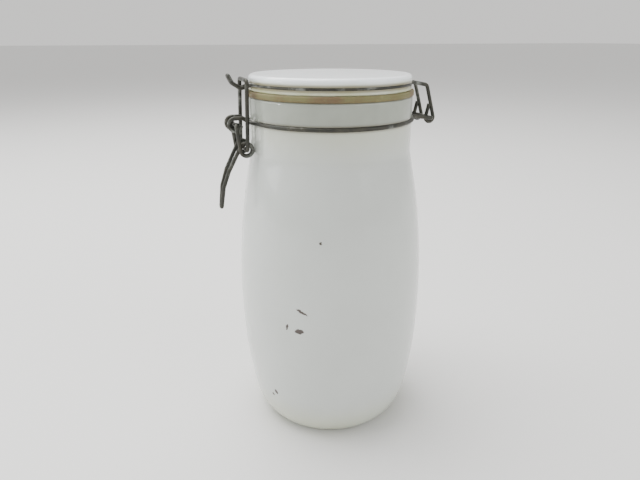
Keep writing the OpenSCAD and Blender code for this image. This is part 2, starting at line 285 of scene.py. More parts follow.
def ring_outline(s, neck_r):
    """The closed outline of the rubber ring, squeezed between the jar and the lid."""
    low = RING_LOW[2]
    high = RING_HIGH[2]
    outer = neck_r + s.ring_proud
    soft = min(s.ring_bulge * 2.4, (high - low) / 2.2)
    start = [(s.ring_in_r, low), (outer - soft, low)]
    outside = round_edge((outer - soft, low + soft), soft, -90, 0)
    outside += round_edge((outer - soft, high - soft), soft, 0, 90)
    return start + outside[1:] + [(s.ring_in_r, high)]


def front(x, r, z):
    """A point of the clip: sideways, in front of the axis, up."""
    return Vector((x, -r, z))


def back(x, r, z):
    """A point of the hinge: sideways, behind the axis, up."""
    return Vector((x, r, z))


def bent(corners, r, steps=8):
    """A route through corner points with each corner bent round, from its first point to its last."""
    route = [corners[0]]
    for before, corner, after in zip(corners, corners[1:], corners[2:]):
        into = (corner - before).normalized()
        out = (after - corner).normalized()
        turn = into.angle(out)
        if turn < 0.01:
            continue
        room = 0.49 * min((corner - before).length, (after - corner).length)
        cut = min(r * math.tan(turn / 2), room)
        radius = cut / math.tan(turn / 2)
        side = (out - into * into.dot(out)).normalized()
        centre = corner - into * cut + side * radius
        for i in range(steps + 1):
            a = turn * i / steps
            route.append(centre + (into * math.sin(a) - side * math.cos(a)) * radius)
    route.append(corners[-1])
    return route


def hoop(r, h, start, stop, steps=72):
    """A route round the jar's axis, with its angles in degrees from the +X direction."""
    angles = [math.radians(start + (stop - start) * i / steps) for i in range(steps + 1)]
    return [Vector((r * math.cos(a), r * math.sin(a), h)) for a in angles]


def upright_arc(centre, r, start, stop, shift=0.0, steps=36):
    """A route round a sideways axis, with angles in degrees from +Y to +Z, moving sideways by shift."""
    route = []
    for i in range(steps + 1):
        t = i / steps
        a = math.radians(start + (stop - start) * t)
        route.append(centre + Vector((shift * t, r * math.cos(a), r * math.sin(a))))
    return route


def leave_r(r, x, degrees):
    """Where the tangent of a hoop at an angle from the middle plane crosses the sideways place x."""
    a = math.radians(degrees)
    return (r - x * math.sin(a)) / math.cos(a)


def touch_angle(centre, r, point, side):
    """Angle on a circle round a sideways axis where a straight wire to the point touches it."""
    d = point - centre
    away = math.degrees(math.atan2(d.z, d.y))
    return away + side * math.degrees(math.acos(r / math.hypot(d.y, d.z)))


def on_circle(centre, r, degrees):
    """A point on a circle round a sideways axis."""
    a = math.radians(degrees)
    return centre + Vector((0, r * math.cos(a), r * math.sin(a)))


def on_hoop(side, r, h, degrees):
    """The point of a hoop at an angle from the middle plane, on the side that front or back gives."""
    a = math.radians(degrees)
    return side(r * math.sin(a), r * math.cos(a), h)


def pin_end(w):
    """Sideways place where a pivot ends, past the inside of the loop or eye that it turns in."""
    return w.loop_half - w.wire_r - w.pin_past


def neck_route(w):
    """Half of the neck wire, from the middle of the hinge bar to the end of a loop."""
    off = NECK_WIRE_LEAVES
    bar = bent([
        back(0, HINGE.y, HINGE.z),
        back(w.bail_half, HINGE.y, HINGE.z),
        back(w.bail_half, leave_r(w.neck_wire_r, w.bail_half, off), w.neck_wire_h),
        on_hoop(back, w.neck_wire_r, w.neck_wire_h, off),
    ], w.bend_r)
    front_r = leave_r(w.neck_wire_r, w.loop_half, off)
    loop_top = PIVOT.z + w.eye_r
    stem = bent([
        on_hoop(front, w.neck_wire_r, w.neck_wire_h, off),
        front(w.loop_half, front_r, w.neck_wire_h),
        front(w.loop_half, front_r + w.loop_rise_out, loop_top),
        front(w.loop_half, -PIVOT.y, loop_top),
    ], w.bend_r)
    loop = upright_arc(front(w.loop_half, -PIVOT.y, PIVOT.z), w.eye_r, LOOP_START, LOOP_STOP)
    return bar + hoop(w.neck_wire_r, w.neck_wire_h, 90 - off, off - 90) + stem + loop


def lid_wire_route(w, groove_h):
    """Half of the lid wire, from the middle of the tongue to the end of a hook."""
    front_off = LID_WIRE_LEAVES_FRONT
    back_off = LID_WIRE_LEAVES_BACK
    tongue_half = w.wire_r + w.tongue_gap
    crook = (w.crossbar_y + w.crook_out, groove_h + w.crossbar_up - 2 * w.wire_r - w.catch_gap)
    tip = (crook[0] + w.tongue_out, crook[1] + w.tongue_up)
    below_tip = (tip[0] - 2 * MM, tip[1] - 4 * MM)
    tongue = bent([
        front(0, *tip),
        front(tongue_half, *tip),
        front(tongue_half, *below_tip),
        front(tongue_half, *crook),
        front(tongue_half, leave_r(w.lid_wire_r, tongue_half, front_off), groove_h),
        on_hoop(front, w.lid_wire_r, groove_h, front_off),
    ], w.bend_r)
    corner = back(w.hook_half, HINGE.y - w.leg_in, groove_h - w.leg_drop)
    hook = back(w.hook_half, HINGE.y, HINGE.z)
    touch = touch_angle(hook, w.hook_r, corner, -1)
    leg = bent([
        on_hoop(back, w.lid_wire_r, groove_h, back_off),
        back(w.hook_half, leave_r(w.lid_wire_r, w.hook_half, back_off), groove_h),
        corner,
        on_circle(hook, w.hook_r, touch),
    ], w.bend_r)
    bend = upright_arc(hook, w.hook_r, touch, HOOK_STOP - 360)
    up = math.radians(HOOK_STOP)
    end = bend[-1] + w.hook_end * Vector((0, math.sin(up), -math.cos(up)))
    around = hoop(w.lid_wire_r, groove_h, front_off - 90, 90 - back_off)
    return tongue + around + leg + bend[1:] + [end]


def link_route(w, groove_h):
    """Half of the link, from the middle of its crossbar to the end of a pivot."""
    crossbar_h = groove_h + w.crossbar_up
    return bent([
        front(0, w.crossbar_y, crossbar_h),
        front(w.link_half, w.crossbar_y, crossbar_h),
        front(w.link_half, -EYE.y, EYE.z),
        front(pin_end(w), -EYE.y, EYE.z),
    ], w.link_bend_r)


def lever_route(w):
    """Half of the lever, from the middle of the handle's tip through a coiled eye to the end of a pivot."""
    tip_h = EYE.z - w.handle_l
    out = -PIVOT.y
    low_bend = front(w.handle_half - 2 * MM, out + w.handle_out * 0.83, EYE.z - w.handle_l * 0.64)
    high_bend = front(w.handle_half - 0.8 * MM, out + w.handle_out * 0.5, EYE.z - w.handle_l * 0.36)
    eye = front(w.handle_half, -EYE.y, EYE.z)
    pivot = front(w.arm_half, out, PIVOT.z)
    start = touch_angle(eye, w.eye_r, high_bend, -1)
    stop = touch_angle(eye, w.eye_r, pivot, 1)
    handle = bent([
        front(0, out + w.handle_out, tip_h),
        front(w.wire_r + 0.4 * MM, out + w.handle_out, tip_h),
        low_bend,
        high_bend,
        on_circle(eye, w.eye_r, start),
    ], w.bend_r)
    while stop > start - COIL_TURN:
        stop -= 360
    coil = upright_arc(eye, w.eye_r, start, stop, w.arm_half - w.handle_half, 60)
    arm = bent([coil[-1], pivot, front(pin_end(w), out, PIVOT.z)], w.arm_bend_r)
    return handle + coil[1:-1] + arm


# ------------------------------------------------------------------- modelling

def deselect():
    """Leaves nothing selected, the frame's own nodes included."""
    if bpy.context.object is not None and bpy.context.object.mode != "OBJECT":
        bpy.ops.object.mode_set(mode="OBJECT")
    bpy.ops.object.select_all(action="DESELECT")


def finish_piece(obj, name, body, slot, *nodes):
    """Names a finished piece, puts it at the origin, ties it to its body and hides the CAD nodes that it
    stands for.
    """
    obj.name = name
    obj.data.name = name
    deselect()
    obj.select_set(True)
    bpy.context.view_layer.objects.active = obj
    bpy.ops.object.transform_apply(location=True, rotation=True, scale=True)
    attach(obj, body)
    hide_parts(*nodes)
    deselect()


def spin_outline(outline, steps=144):
    """Draws an outline by extruding one point, then spins it round the axis into a closed body."""
    deselect()
    bpy.ops.mesh.primitive_plane_add(size=10 * MM, location=(0, 0, 0))
    obj = bpy.context.object
    bpy.ops.object.mode_set(mode="EDIT")
    bpy.ops.mesh.select_all(action="SELECT")
    bpy.ops.mesh.merge(type="CENTER")
    place = Vector((outline[0][0], 0, outline[0][1]))
    bpy.ops.transform.translate(value=place)
    for r, h in outline[1:]:
        step = Vector((r, 0, h)) - place
        if step.length < WELD:
            continue
        bpy.ops.mesh.extrude_region_move(TRANSFORM_OT_translate={"value": step})
        place += step
    if outline[0][0] > 0:
        bpy.ops.mesh.extrude_region_move(
            TRANSFORM_OT_translate={"value": Vector((outline[0][0], 0, outline[0][1])) - place})
        bpy.ops.mesh.select_all(action="SELECT")
        bpy.ops.mesh.remove_doubles(threshold=WELD)
    bpy.ops.mesh.select_all(action="SELECT")
    bpy.ops.mesh.spin(steps=steps, angle=TURN, center=(0, 0, 0), axis=(0, 0, 1))
    bpy.ops.mesh.select_all(action="SELECT")
    bpy.ops.mesh.remove_doubles(threshold=2 * WELD)
    bpy.ops.mesh.normals_make_consistent(inside=False)
    bpy.ops.object.mode_set(mode="OBJECT")
    bpy.ops.object.shade_smooth_by_angle(angle=math.radians(40))
    return obj


def ripple(obj, depth, seed, low, high):
    """Moves the points of a wall in and out very slightly, as blown glass strays from a true round."""
    for v in obj.data.vertices:
        r = math.hypot(v.co.x, v.co.y)
        if not low < v.co.z < high or r < 1e-4:
            continue
        a = math.atan2(v.co.y, v.co.x)
        fade = math.sin(math.pi * (v.co.z - low) / (high - low))
        wave = math.sin(3 * a + seed + v.co.z * 31) * 0.5
        wave += math.sin(5 * a - seed * 2 + v.co.z * 47) * 0.3
        wave += math.sin(2 * a + v.co.z * 90) * 0.2
        k = 1 - depth * fade * (0.5 + 0.5 * wave) / r
        v.co.x *= k
        v.co.y *= k


def wire_piece(half, wire_r, sides=6):
    """One length of wire along a half route and its mirror image, with its cut ends rounded."""
    other = [Vector((-p.x, p.y, p.z)) for p in half]
    route = []
    for p in list(reversed(other)) + half:
        if not route or (p - route[-1]).length > 0.02 * MM:
            route.append(p)
    deselect()
    bpy.ops.curve.primitive_nurbs_path_add(location=(0, 0, 0))
    obj = bpy.context.object
    obj.data.splines.clear()
    line = obj.data.splines.new("POLY")
    line.points.add(len(route) - 1)
    for point, p in zip(line.points, route):
        point.co = (*p, 1.0)
    obj.data.dimensions = "3D"
    obj.data.twist_mode = "MINIMUM"
    obj.data.bevel_depth = wire_r
    obj.data.bevel_resolution = sides
    obj.data.use_fill_caps = True
    bpy.ops.object.convert(target="MESH")
    obj = bpy.context.object
    bpy.ops.object.mode_set(mode="EDIT")
    bpy.ops.mesh.select_all(action="SELECT")
    bpy.ops.mesh.remove_doubles(threshold=WELD)
    bpy.ops.mesh.normals_make_consistent(inside=False)
    bpy.ops.object.mode_set(mode="OBJECT")
    round_cut_ends(obj, wire_r)
    bpy.ops.object.shade_smooth_by_angle(angle=math.radians(50))
    return obj


def round_cut_ends(obj, wire_r):
    """Bevels the rim of each flat cut end of a wire."""
    bpy.context.view_layer.objects.active = obj
    mesh = obj.data
    bpy.ops.object.mode_set(mode="EDIT")
    bpy.ops.mesh.select_mode(type="FACE")
    bpy.ops.mesh.select_all(action="DESELECT")
    bpy.ops.object.mode_set(mode="OBJECT")
    for face in mesh.polygons:
        face.select = len(face.vertices) > 6
    bpy.ops.object.mode_set(mode="EDIT")
    bpy.ops.mesh.region_to_loop()
    bpy.ops.mesh.bevel(offset=wire_r * 0.3, segments=2, affect="EDGES", clamp_overlap=True)
    bpy.ops.mesh.select_mode(type="VERT")
    bpy.ops.object.mode_set(mode="OBJECT")


# ------------------------------------------------------------------- materials

class Nodes:
    """Short calls for the nodes of one material or group."""

    def __init__(self, tree):
        self.tree = tree
        self.column = 0

    def add(self, kind, inputs=None, **settings):
        """A node with its settings and its inputs, each a value or another node's output."""
        node = self.tree.nodes.new(kind)
        self.column += 1
        node.location = (180 * (self.column % 8), -220 * (self.column // 8))
        for key, value in settings.items():
            setattr(node, key, value)
        for key, value in (inputs or {}).items():
            socket = node.inputs[key]
            if isinstance(value, bpy.types.NodeSocket):
                self.tree.links.new(value, socket)
            else:
                socket.default_value = value
        return node

    def math(self, operation, a, b=0.0, clamp=False):
        """The result of one sum on numbers."""
        node = self.add("ShaderNodeMath", {0: a, 1: b}, operation=operation, use_clamp=clamp)
        return node.outputs[0]

    def vector(self, operation, a, b):
        """The result of one sum on vectors."""
        return self.add("ShaderNodeVectorMath", {0: a, 1: b}, operation=operation).outputs[0]

    def mix(self, factor, a, b):
        """A blend of two colours."""
        node = self.add("ShaderNodeMix", {"Factor": factor}, data_type="RGBA")
        for index, value in ((6, a), (7, b)):
            if isinstance(value, bpy.types.NodeSocket):
                self.tree.links.new(value, node.inputs[index])
            else:
                node.inputs[index].default_value = (*value, 1.0) if len(value) == 3 else value
        return node.outputs[2]

    def span(self, value, low, high, to_low=0.0, to_high=1.0):
        """A value spread from one range to another, held at both ends and eased between."""
        node = self.add("ShaderNodeMapRange", {
            "Value": value, "From Min": low, "From Max": high, "To Min": to_low, "To Max": to_high,
        }, interpolation_type="SMOOTHSTEP")
        return node.outputs["Result"]

    def noise(self, vector, scale, detail=3.0, roughness=0.5):
        """A soft random value over space."""
        node = self.add("ShaderNodeTexNoise", {
            "Vector": vector, "Scale": scale, "Detail": detail, "Roughness": roughness,
        })
        return node.outputs["Fac"]


def new_group(name, inputs, outputs):
    """The nodes of an empty group with number and vector sockets, and its two ends."""
    group = bpy.data.node_groups.new(name, "ShaderNodeTree")
    for label, kind, default in inputs:
        socket = group.interface.new_socket(name=label, in_out="INPUT", socket_type=kind)
        if default is not None:
            socket.default_value = default
    for label, kind in outputs:
        group.interface.new_socket(name=label, in_out="OUTPUT", socket_type=kind)
    n = Nodes(group)
    return n, n.add("NodeGroupInput"), n.add("NodeGroupOutput")


FLOAT = "NodeSocketFloat"
VECTOR = "NodeSocketVector"


def soiling_group():
    """Dirt and cloudiness that the materials share: a broad cloud, and its mask with a fine speckle."""
    n, given, result = new_group("soiling", [
        ("Vector", VECTOR, None), ("Cloud Scale", FLOAT, 20.0), ("Speck Scale", FLOAT, 600.0),
        ("Speck Amount", FLOAT, 0.3),
    ], [("Cloud", FLOAT), ("Mask", FLOAT)])
    cloud = n.noise(given.outputs["Vector"], given.outputs["Cloud Scale"], 4.0, 0.6)
    cloud = n.span(cloud, 0.35, 0.68)
    fine = n.noise(given.outputs["Vector"], given.outputs["Speck Scale"], 2.0, 0.6)
    limit = n.math("SUBTRACT", 0.78, n.math("MULTIPLY", given.outputs["Speck Amount"], 0.3))
    specks = n.span(fine, limit, n.math("ADD", limit, 0.06))
    mask = n.math("MULTIPLY", cloud, n.math("ADD", 0.35, specks), clamp=True)
    n.tree.links.new(cloud, result.inputs["Cloud"])
    n.tree.links.new(mask, result.inputs["Mask"])


def surface_relief_group():
    """A shallow height that the materials share: broad waves with a fine grain on them."""
    n, given, result = new_group("surface_relief", [
        ("Vector", VECTOR, None), ("Wave Scale", FLOAT, 30.0), ("Grain Scale", FLOAT, 900.0),
        ("Grain Share", FLOAT, 0.3),
    ], [("Height", FLOAT)])
    wave = n.noise(given.outputs["Vector"], given.outputs["Wave Scale"], 2.0, 0.5)
    grain = n.noise(given.outputs["Vector"], given.outputs["Grain Scale"], 3.0, 0.6)
    share = given.outputs["Grain Share"]
    wave = n.math("MULTIPLY", wave, n.math("SUBTRACT", 1.0, share))
    height = n.math("ADD", wave, n.math("MULTIPLY", grain, share))
    n.tree.links.new(height, result.inputs["Height"])


def fleck_group():
    """One dry fleck stuck to the glass: a ragged oval round a place, as a mask."""
    n, given, result = new_group("dry_fleck", [
        ("Vector", VECTOR, None), ("Place", VECTOR, (0, 0, 0)), ("Half Width", FLOAT, 0.002),
        ("Half Height", FLOAT, 0.001), ("Lean", FLOAT, 0.0),
    ], [("Mask", FLOAT)])
    vector = given.outputs["Vector"]
    ragged = n.add("ShaderNodeTexNoise", {"Vector": vector, "Scale": 900.0, "Detail": 3.0})
    push = n.vector("SUBTRACT", ragged.outputs["Color"], (0.5, 0.5, 0.5))
    push = n.add("ShaderNodeVectorMath", {0: push, "Scale": 1.6 * MM}, operation="SCALE").outputs[0]
    away = n.vector("ADD", n.vector("SUBTRACT", vector, given.outputs["Place"]), push)
    x, y, z = n.add("ShaderNodeSeparateXYZ", {0: away}).outputs
    flat = n.math("SQRT", n.math("ADD", n.math("POWER", x, 2.0), n.math("POWER", y, 2.0)))
    toward = n.math("MULTIPLY", n.math("SIGN", y), flat)
    height = n.math("ADD", z, n.math("MULTIPLY", toward, given.outputs["Lean"]))
    wide = n.math("POWER", n.math("DIVIDE", flat, given.outputs["Half Width"]), 2.0)
    high = n.math("POWER", n.math("DIVIDE", height, given.outputs["Half Height"]), 2.0)
    mask = n.span(n.math("ADD", wide, high), 0.75, 1.15, 1.0, 0.0)
    n.tree.links.new(mask, result.inputs["Mask"])


def start_material(name):
    """A material with its nodes, its shader and the piece's own coordinates."""
    material = bpy.data.materials.new(name)
    material.use_nodes = True
    material.node_tree.nodes.clear()
    n = Nodes(material.node_tree)
    shader = n.add("ShaderNodeBsdfPrincipled")
    output = n.add("ShaderNodeOutputMaterial")
    n.tree.links.new(shader.outputs[0], output.inputs["Surface"])
    place = n.add("ShaderNodeTexCoord").outputs["Object"]
    return material, n, shader, place


def use_group(n, name, inputs):
    """A shared group placed in a material with its own values."""
    return n.add("ShaderNodeGroup", inputs, node_tree=bpy.data.node_groups[name]).outputs


def use_soiling(n, place, cloud_scale, speck_scale, speck_amount):
    """The shared dirt and cloudiness at a material's own scales."""
    return use_group(n, "soiling", {
        "Vector": place, "Cloud Scale": cloud_scale, "Speck Scale": speck_scale,
        "Speck Amount": speck_amount,
    })


def add_relief(n, shader, place, depth, wave_scale, grain_scale, grain_share):
    """A shallow bump from the shared relief."""
    relief = use_group(n, "surface_relief", {
        "Vector": place, "Wave Scale": wave_scale, "Grain Scale": grain_scale, "Grain Share": grain_share,
    })
    bump = n.add("ShaderNodeBump", {"Height": relief["Height"], "Strength": 1.0, "Distance": depth})
    n.tree.links.new(bump.outputs[0], shader.inputs["Normal"])


def opal_shader(shader, f):
    """The values that are the same all over the opal glass."""
    shader.inputs["IOR"].default_value = 1.5
    shader.inputs["Metallic"].default_value = 0.0
    shader.inputs["Transmission Weight"].default_value = 0.0
    shader.inputs["Subsurface Weight"].default_value = 0.25
    shader.inputs["Subsurface Radius"].default_value = (0.9, 1.0, 0.95)
    shader.inputs["Subsurface Scale"].default_value = 4 * MM
    shader.inputs["Coat Weight"].default_value = 0.25
    shader.inputs["Coat Roughness"].default_value = 0.04
    shader.inputs["Roughness"].default_value = f.glass_roughness


FLECKS = [
    # angle from +X in degrees, height, half width, half height, lean
    (-25.4, 139.9 * MM, 0.8 * MM, 1.0 * MM, 0.0),
    (-36.0, 97.3 * MM, 3.6 * MM, 0.9 * MM, 0.45),
    (-45.4, 85.6 * MM, 0.9 * MM, 2.2 * MM, -0.9),
    (-37.9, 84.2 * MM, 3.0 * MM, 1.7 * MM, -0.1),
    (-58.8, 31.2 * MM, 1.5 * MM, 1.7 * MM, 0.4),
    (-62.3, 27.6 * MM, 1.0 * MM, 1.1 * MM, 0.0),
]


def side_radius(s, height):
    """Outer radius of the jar's side at a height."""
    side = jar_side(s, 0, 0)
    for (r1, h1), (r2, h2) in zip(side, side[1:]):
        if h1 <= height <= h2:
            return r1 + (r2 - r1) * (height - h1) / (h2 - h1)
    return s.neck_r


def jar_material(f, s, w):
    """Milky glass: a faint cloud, a yellow-green cast at heel and neck, painted shade on the neck above its
    wire, a darker brown band along the wire, flecks.
    """
    material, n, shader, place = start_material("opal_glass_jar")
    opal_shader(shader, f)
    soil = use_soiling(n, place, 14.0, 420.0, 0.12)
    height = n.add("ShaderNodeSeparateXYZ", {0: place}).outputs[2]
    heel = n.span(height, 0.0, 34 * MM, 0.55, 0.0)
    neck = n.span(height, s.shoulder_h - 8 * MM, w.neck_wire_h, 0.0, 0.35)
    cast = n.math("MAXIMUM", heel, neck)
    cast = n.math("MULTIPLY", cast, n.math("ADD", 0.55, n.math("MULTIPLY", soil["Cloud"], 0.6)), clamp=True)
    base = n.mix(cast, f.opal, f.opal_warm)
    base = n.mix(n.math("MULTIPLY", soil["Cloud"], 0.10), base, [c * 0.86 for c in f.opal])
    # Painted shade: the neck above its wire is darkened, standing in for the shade under the lid.
    neck_shade = n.span(height, w.neck_wire_h - 1 * MM, w.neck_wire_h + 2 * MM, 0.0, 0.9)
    uneven = n.math("ADD", 0.75, n.math("MULTIPLY", soil["Cloud"], 0.25))
    neck_shade = n.math("MULTIPLY", neck_shade, uneven, clamp=True)
    base = n.mix(neck_shade, base, f.neck_painted_shade)
    # A darker brown band along the neck wire's groove, with scattered specks.
    near_wire = n.math("ABSOLUTE", n.math("SUBTRACT", height, w.neck_wire_h))
    line = n.span(near_wire, 1.2 * MM, 2.8 * MM, 0.6, 0.0)
    line = n.math("MULTIPLY", line, n.math("ADD", 0.4, n.math("MULTIPLY", soil["Cloud"], 0.6)))
    line = n.math("ADD", line, n.math("MULTIPLY", soil["Mask"], 0.12), clamp=True)
    base = n.mix(line, base, f.grime)
    flecks = 0.0
    for degrees, h, half_w, half_h, lean in FLECKS:
        a = math.radians(degrees)
        r = side_radius(s, h)
        fleck = use_group(n, "dry_fleck", {
            "Vector": place, "Place": (r * math.cos(a), r * math.sin(a), h),
            "Half Width": half_w, "Half Height": half_h, "Lean": lean,
        })
        flecks = n.math("MAXIMUM", fleck["Mask"], flecks)
    base = n.mix(n.math("MULTIPLY", flecks, 0.95), base, f.residue)
    n.tree.links.new(base, shader.inputs["Base Color"])
    rough = n.math("ADD", f.glass_roughness, n.math("MULTIPLY", soil["Mask"], 0.12))
    rough = n.math("ADD", rough, n.math("MULTIPLY", flecks, 0.5), clamp=True)
    n.tree.links.new(rough, shader.inputs["Roughness"])
    add_relief(n, shader, place, 0.25 * MM, 16.0, 260.0, 0.02)
    return material


def lid_material(f, s):
    """The lid's white glass, painted lighter on its top for the overhead light, with a yellow-green cast
    and a darker brown band low on its edge.
    """
    material, n, shader, place = start_material("opal_glass_lid")
    opal_shader(shader, f)
    soil = use_soiling(n, place, 22.0, 500.0, 0.1)
    height = n.add("ShaderNodeSeparateXYZ", {0: place}).outputs[2]
    top = LID_UNDERSIDE + s.lid_t
    # Painted light: the top takes the lighter lid colour for the overhead light, while the edge below takes
    # the darker yellow-green cast.
    cast = n.span(height, LID_UNDERSIDE + s.groove_up, top - s.lid_round * 0.5, 1.0, 0.0)
    cast = n.math("MULTIPLY", cast, n.math("ADD", 0.6, n.math("MULTIPLY", soil["Cloud"], 0.5)), clamp=True)
    base = n.mix(cast, f.lid_white_painted_light, f.opal_warm)
    # A darker brown band along the lid wire's groove, with scattered specks.
    near_wire = n.math("ABSOLUTE", n.math("SUBTRACT", height, LID_UNDERSIDE + s.groove_up))
    line = n.span(near_wire, 1.2 * MM, 2.6 * MM, 0.75, 0.0)
    line = n.math("ADD", line, n.math("MULTIPLY", soil["Mask"], 0.10), clamp=True)
    base = n.mix(line, base, f.grime)
    n.tree.links.new(base, shader.inputs["Base Color"])
    rough = n.math("ADD", f.glass_roughness, n.math("MULTIPLY", soil["Cloud"], 0.06))
    n.tree.links.new(rough, shader.inputs["Roughness"])
    add_relief(n, shader, place, 0.2 * MM, 24.0, 300.0, 0.02)
    return material


def rubber_material(f):
    """Perished rubber: mottled olive and brown with fine cracks and a dry, dull face."""
    material, n, shader, place = start_material("perished_rubber")
    soil = use_soiling(n, place, 60.0, 700.0, 0.6)
    streak = n.add("ShaderNodeMapping", {"Vector": place, "Scale": (1.0, 1.0, 0.25)})
    patches = n.span(n.noise(streak.outputs[0], 34.0, 5.0, 0.6), 0.42, 0.62)
    base = n.mix(patches, f.rubber_light, f.rubber_dark)
    height = n.add("ShaderNodeSeparateXYZ", {0: place}).outputs[2]
    ragged = n.math("MULTIPLY", n.noise(place, 130.0, 4.0, 0.6), 2.2 * MM)
    low = RING_LOW[2]
    edge = n.span(n.math("ADD", height, ragged), low + 1.0 * MM, low + 2.6 * MM, 0.55, 0.0)
    base = n.mix(edge, base, f.rubber_dark)
    bloom = n.span(n.noise(place, 240.0, 3.0, 0.6), 0.55, 0.75, 0.0, 0.35)
    base = n.mix(bloom, base, [c * 1.7 for c in f.rubber_light])
    base = n.mix(n.math("MULTIPLY", soil["Mask"], 0.55), base, f.grime)
    n.tree.links.new(base, shader.inputs["Base Color"])
    rough = n.math("ADD", 0.55, n.math("MULTIPLY", soil["Cloud"], 0.2))
    n.tree.links.new(rough, shader.inputs["Roughness"])
    shader.inputs["Specular IOR Level"].default_value = 0.35
    shader.inputs["Subsurface Weight"].default_value = 0.1
    shader.inputs["Subsurface Scale"].default_value = 1 * MM
    add_relief(n, shader, place, 0.25 * MM, 220.0, 1400.0, 0.5)
    return material


def wire_material(f):
    """Dull steel wire: an oxidised skin, rubbed bright in patches, with fine pits."""
    material, n, shader, place = start_material("dulled_steel_wire")
    soil = use_soiling(n, place, 110.0, 1500.0, 0.5)
    rubbed = n.span(n.noise(place, 75.0, 4.0, 0.65), 0.50, 0.70)
    base = n.mix(n.math("MULTIPLY", rubbed, 0.75), f.wire_dark, f.wire_bare)
    base = n.mix(n.math("MULTIPLY", soil["Mask"], 0.3), base, f.grime)
    n.tree.links.new(base, shader.inputs["Base Color"])
    metal = n.math("SUBTRACT", 0.85, n.math("MULTIPLY", soil["Mask"], 0.5))
    n.tree.links.new(metal, shader.inputs["Metallic"])
    rough = n.math("SUBTRACT", f.wire_roughness, n.math("MULTIPLY", rubbed, 0.14))
    rough = n.math("ADD", rough, n.math("MULTIPLY", soil["Mask"], 0.2), clamp=True)
    n.tree.links.new(rough, shader.inputs["Roughness"])
    add_relief(n, shader, place, 0.12 * MM, 400.0, 2600.0, 0.5)
    return material


def floor_material(f):
    """A plain pale floor."""
    material, n, shader, place = start_material("pale_floor")
    tone = n.noise(place, 3.0, 2.0, 0.5)
    base = n.mix(n.math("MULTIPLY", tone, 0.08), f.floor, [c * 0.93 for c in f.floor])
    n.tree.links.new(base, shader.inputs["Base Color"])
    shader.inputs["Roughness"].default_value = 0.6
    shader.inputs["Specular IOR Level"].default_value = 0.3
    return material


def paint(obj, material):
    """Gives a piece its one material."""
    obj.data.materials.clear()
    obj.data.materials.append(material)


# ------------------------------------------------------------------- operators

class CANISTER_OT_shared_groups(bpy.types.Operator):
    """Build the node groups that the materials share"""
    bl_idname = "canister.shared_groups"
    bl_label = "Shared Groups"

    def execute(self, context):
        soiling_group()
        surface_relief_group()
        fleck_group()
        return {"FINISHED"}


class CANISTER_OT_glass_jar(bpy.types.Operator):
    """Spin the jar's glass from its outline"""
    bl_idname = "canister.glass_jar"
    bl_label = "Glass Jar"

    def execute(self, context):
        scene = context.scene
        jar = spin_outline(jar_outline(scene.canister_jar, scene.canister_wires))
        ripple(jar, scene.canister_jar.waviness, 1.3, 30 * MM, 180 * MM)
        paint(jar, jar_material(scene.canister_finishes, scene.canister_jar, scene.canister_wires))
        finish_piece(jar, "opal_jar", "jar", "opal_glass", "glass_jar")
        return {"FINISHED"}


class CANISTER_OT_glass_lid(bpy.types.Operator):
    """Spin the lid's glass from its outline"""
    bl_idname = "canister.glass_lid"
    bl_label = "Glass Lid"

    def execute(self, context):
        scene = context.scene
        lid = spin_outline(lid_outline(scene.canister_lid, scene.canister_wires))
        paint(lid, lid_material(scene.canister_finishes, scene.canister_lid))
        finish_piece(lid, "opal_lid", "lid", "opal_glass", "glass_lid")
        return {"FINISHED"}


class CANISTER_OT_rubber_ring(bpy.types.Operator):
    """Spin the rubber ring and let its edge sag a little unevenly"""
    bl_idname = "canister.rubber_ring"
    bl_label = "Rubber Ring"

    def execute(self, context):
        scene = context.scene
        ring = spin_outline(ring_outline(scene.canister_lid, scene.canister_jar.neck_r), 192)
        crimp(ring, scene.canister_jar.neck_r)
        paint(ring, rubber_material(scene.canister_finishes))
        finish_piece(ring, "perished_ring", "lid", "rubber_ring", "rubber_ring")
        return {"FINISHED"}


def crimp(ring, inside_r):
    """Draws the ring's squeezed outer edge in and out by small uneven amounts."""
    for v in ring.data.vertices:
        r = math.hypot(v.co.x, v.co.y)
        if r <= inside_r - 1 * MM:
            continue
        a = math.atan2(v.co.y, v.co.x)
        wave = math.sin(7 * a + 0.4) + 0.6 * math.sin(17 * a + 2.1) + 0.5 * math.sin(31 * a)
        k = 1 - 0.07 * MM * (2.1 + wave) / r
        v.co.x *= k
        v.co.y *= k


class CANISTER_OT_neck_wire(bpy.types.Operator):
    """Bend the neck wire with its hinge bar and front loops"""
    bl_idname = "canister.neck_wire"
    bl_label = "Neck Wire"

    def execute(self, context):
        w = context.scene.canister_wires
        wire = wire_piece(neck_route(w), w.wire_r)
        paint(wire, wire_material(context.scene.canister_finishes))
        finish_piece(wire, "neck_wire_bent", "jar", "steel_wire", "neck_wire_left", "neck_wire_right")
        return {"FINISHED"}


class CANISTER_OT_lid_wire(bpy.types.Operator):
    """Bend the lid wire with its tongue and hinge hooks"""
    bl_idname = "canister.lid_wire"
    bl_label = "Lid Wire"

    def execute(self, context):
        w = context.scene.canister_wires
        groove_h = LID_UNDERSIDE + context.scene.canister_lid.groove_up
        wire = wire_piece(lid_wire_route(w, groove_h), w.wire_r)
        paint(wire, bpy.data.materials["dulled_steel_wire"])
        finish_piece(wire, "lid_wire_bent", "lid", "steel_wire", "lid_wire_left", "lid_wire_right")
        return {"FINISHED"}


class CANISTER_OT_link(bpy.types.Operator):
    """Bend the link that pulls the lid down"""
    bl_idname = "canister.link"
    bl_label = "Link"

    def execute(self, context):
        w = context.scene.canister_wires
        groove_h = LID_UNDERSIDE + context.scene.canister_lid.groove_up
        wire = wire_piece(link_route(w, groove_h), w.wire_r)
        paint(wire, bpy.data.materials["dulled_steel_wire"])
        finish_piece(wire, "link_bent", "link", "steel_wire", "link_wire")
        return {"FINISHED"}


